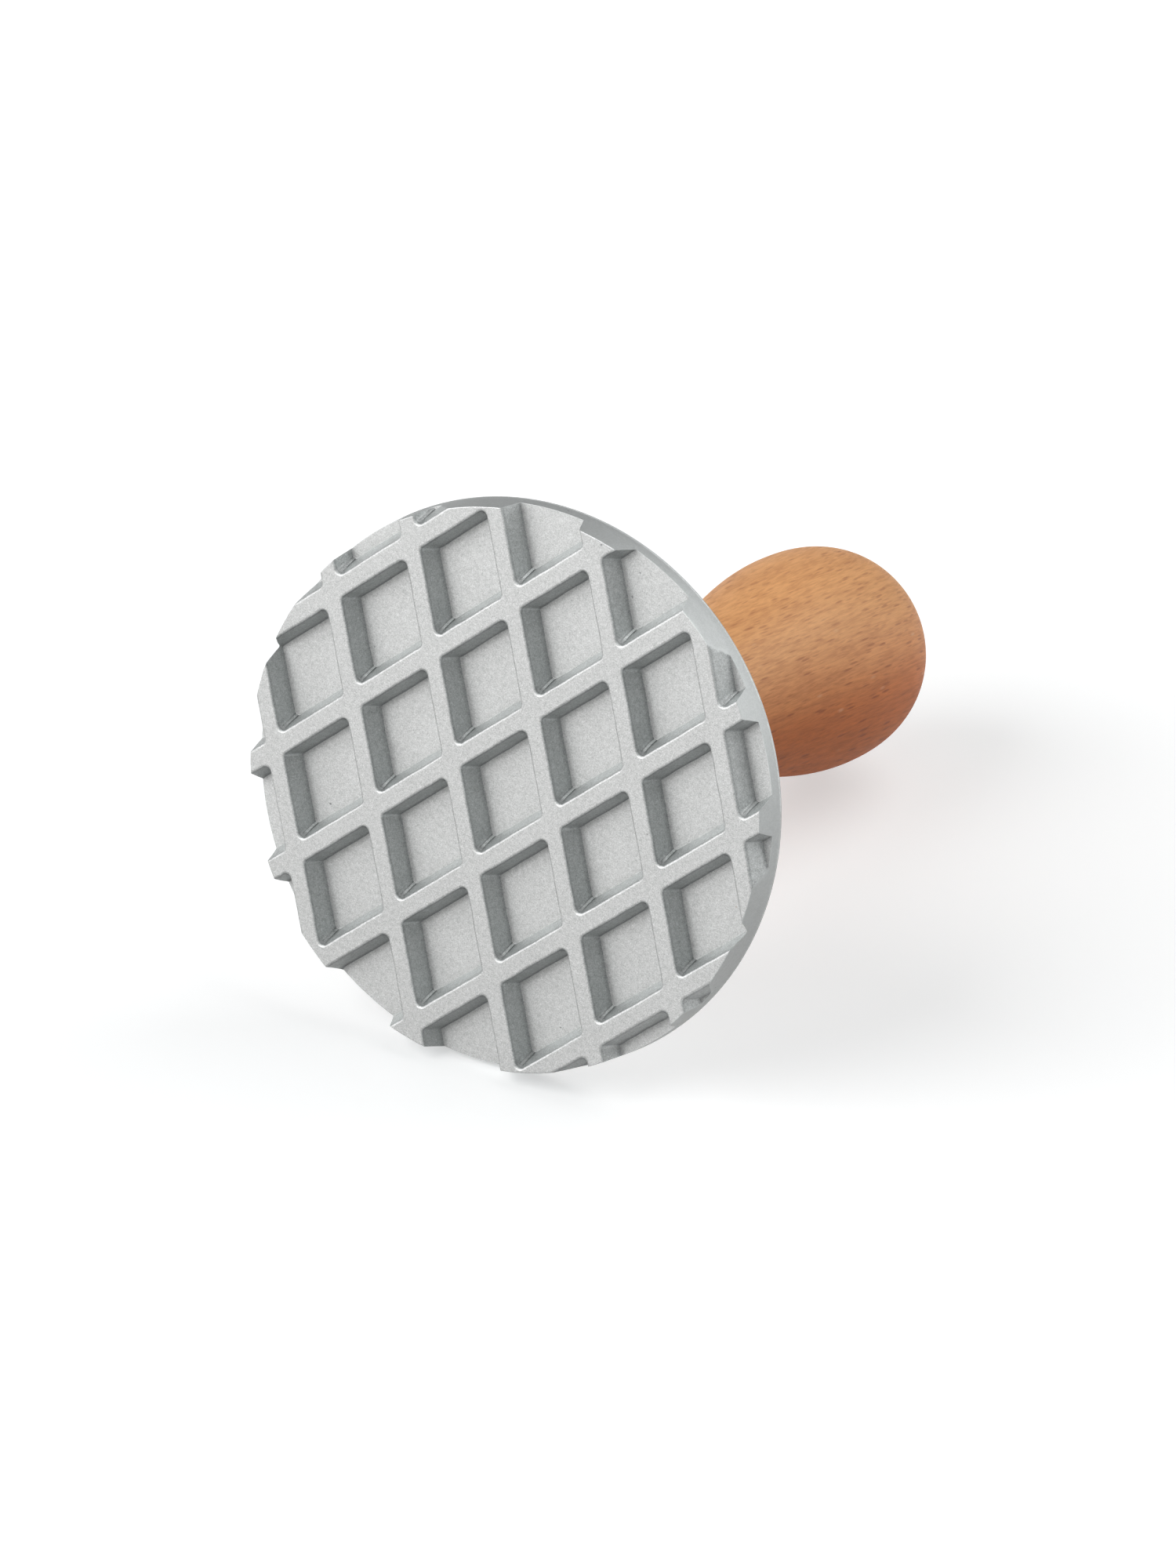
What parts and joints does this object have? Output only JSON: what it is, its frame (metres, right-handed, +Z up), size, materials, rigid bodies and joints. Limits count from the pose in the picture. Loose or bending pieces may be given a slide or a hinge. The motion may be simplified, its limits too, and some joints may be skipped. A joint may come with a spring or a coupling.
{
  "type": "cookie stamp",
  "caption": "Round cast aluminium cookie stamp with a drafted diamond waffle face and a pear-shaped turned wooden handle that screws off.",
  "frame": {"origin": "centre of the stamping face, on the plane of the rib tops", "axes": "+Z up the handle, away from the stamping face; +Y along the long diagonal of the waffle diamonds"},
  "size_m": [0.076, 0.076, 0.106],
  "materials": {
    "cast_aluminium": "bead-blasted casting, dull and finely grained",
    "plated_steel": "zinc plated, satin",
    "brass": "turned, satin",
    "beech": "oiled beech, satin"
  },
  "bodies": {
    "head": {"stamp_head": "cast_aluminium", "stud": "plated_steel"},
    "insert": {"threaded_insert": "brass"},
    "handle": {"handle": "beech"}
  },
  "joints": [
    {"name": "handle_lift", "type": "slide", "parent": "head", "child": "insert", "axis": [0, 0, 1], "range_m": [0, 0.01]},
    {"name": "handle_turn", "type": "hinge", "parent": "insert", "child": "handle", "pos_m": [0, 0, 0.02], "axis": [0, 0, 1], "range_deg": [0, 3600]}
  ],
  "couplings": [
    {"joint": "handle_lift", "follows": "handle_turn", "m_per_rad": 0.00015915}
  ]
}
